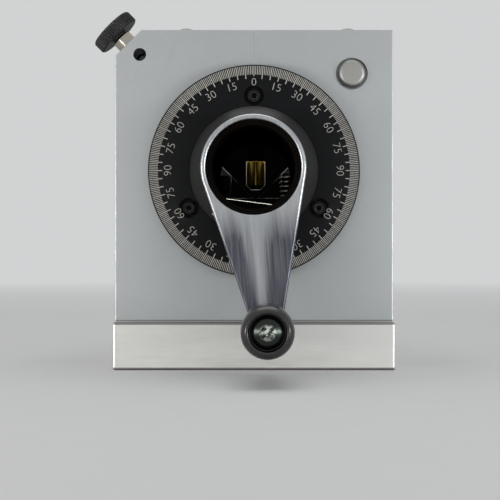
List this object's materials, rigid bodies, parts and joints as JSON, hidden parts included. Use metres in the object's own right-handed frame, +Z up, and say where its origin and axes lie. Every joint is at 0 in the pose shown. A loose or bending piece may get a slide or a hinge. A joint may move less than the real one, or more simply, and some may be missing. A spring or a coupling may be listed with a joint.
{
  "type": "punch former",
  "caption": "Workholding fixture with a hollow indexing spindle, graduated dial, hand crank, index plate with pin, and a screw-adjusted V block with a clamp bridge.",
  "frame": {"origin": "centre of the base plate's underside", "axes": "+Z up, -Y the crank side, +Y the side that holds the work, +X to the right seen from the crank side"},
  "size_m": [0.1158, 0.2199, 0.1388],
  "materials": {
    "ground_steel": "ground, satin",
    "base_steel": "ground lengthwise",
    "turned_steel": "turned, dark",
    "hardened_steel": "hardened and ground",
    "bearing_steel": "polished",
    "spacer_steel": "turned",
    "pin_steel": "fine matte",
    "dial_black": "black, satin",
    "black_oxide": "black oxide",
    "crank_aluminium": "satin, hand finished",
    "handle_plastic": "moulded, glossy",
    "bright_screw": "zinc plated",
    "nickel": "nickel plated",
    "brass": "turned",
    "bronze": "turned bronze"
  },
  "bodies": {
    "frame": {"base_plate": "base_steel", "housing_block": "ground_steel", "base_screws": "black_oxide", "dowel_pins": "hardened_steel", "rear_bearing_outer_ring": "bearing_steel", "rear_bearing_balls": "bearing_steel", "front_bearing_outer_ring": "bearing_steel", "front_bearing_balls": "bearing_steel", "outer_spacer": "spacer_steel", "bearing_cover": "ground_steel", "cover_screws": "black_oxide", "detent_ball": "bearing_steel", "detent_spring": "bearing_steel", "detent_plug": "nickel", "oil_plug": "nickel"},
    "spindle": {"spindle": "turned_steel", "rear_bearing_inner_ring": "bearing_steel", "front_bearing_inner_ring": "bearing_steel", "inner_spacer": "spacer_steel", "lock_nut": "spacer_steel", "dial_hub": "turned_steel", "dial_plate": "dial_black", "dial_screws": "black_oxide", "crank_arm": "crank_aluminium", "crank_set_screw": "hardened_steel", "handle_bush": "spacer_steel", "handle_washer": "spacer_steel", "handle_screw": "bright_screw", "index_plate": "hardened_steel", "index_plate_screws": "black_oxide", "post_bracket": "ground_steel", "bracket_screws": "black_oxide", "guide_post": "hardened_steel", "blade_screw": "black_oxide"},
    "handle": {"handle_grip": "handle_plastic"},
    "index_pin": {"index_pin": "pin_steel"},
    "stop_pad": {"stop_pad": "brass"},
    "stop_screw": {"stop_screw": "nickel", "stop_knob": "black_oxide"},
    "lead_screw": {"lead_screw": "hardened_steel", "lead_collar": "hardened_steel"},
    "v_carriage": {"v_carriage": "ground_steel", "lead_nut": "bronze", "v_block": "hardened_steel", "v_block_screws": "black_oxide", "clamp_bridge": "ground_steel", "bridge_screws": "black_oxide"},
    "clamp_pad": {"clamp_pad": "brass"},
    "clamp_screw": {"clamp_screw": "nickel", "clamp_knob": "black_oxide"},
    "end_stop": {"end_stop_blade": "ground_steel"}
  },
  "joints": [
    {"name": "spindle_turn", "type": "hinge", "parent": "frame", "child": "spindle", "pos_m": [0, 0, 0.075], "axis": [0, 1, 0], "continuous": true},
    {"name": "handle_spin", "type": "hinge", "parent": "spindle", "child": "handle", "pos_m": [0.00499, -0.103, 0.01852], "axis": [0, -1, 0], "continuous": true},
    {"name": "index_pin_slide", "type": "slide", "parent": "frame", "child": "index_pin", "axis": [0, 1, 0], "range_m": [0, 0.005]},
    {"name": "stop_pad_slide", "type": "slide", "parent": "frame", "child": "stop_pad", "axis": [0.7071, 0, -0.7071], "range_m": [-0.00125, 0.00031]},
    {"name": "stop_screw_turn", "type": "hinge", "parent": "stop_pad", "child": "stop_screw", "pos_m": [-0.0436, -0.018, 0.1196], "axis": [0.7071, 0, -0.7071], "range_deg": [-360, 90]},
    {"name": "lead_turn", "type": "hinge", "parent": "spindle", "child": "lead_screw", "pos_m": [0.0185, 0.053, 0.075], "axis": [0, 0, 1], "range_deg": [-1080, 1080]},
    {"name": "v_slide", "type": "slide", "parent": "spindle", "child": "v_carriage", "axis": [0, 0, 1], "range_m": [-0.006, 0.006]},
    {"name": "clamp_pad_slide", "type": "slide", "parent": "v_carriage", "child": "clamp_pad", "axis": [0, 0, 1], "range_m": [-0.00125, 0.015]},
    {"name": "clamp_turn", "type": "hinge", "parent": "clamp_pad", "child": "clamp_screw", "pos_m": [0, 0.076, 0.075], "axis": [0, 0, 1], "range_deg": [-360, 4320]},
    {"name": "end_stop_swing", "type": "hinge", "parent": "spindle", "child": "end_stop", "pos_m": [-0.038, 0.0398, 0.0659], "axis": [0, 1, 0], "range_deg": [-6, 15]}
  ],
  "couplings": [
    {"joint": "stop_screw_turn", "follows": "stop_pad_slide", "rad_per_m": 5026},
    {"joint": "lead_turn", "follows": "v_slide", "rad_per_m": -3141.5},
    {"joint": "clamp_turn", "follows": "clamp_pad_slide", "rad_per_m": 5026}
  ]
}
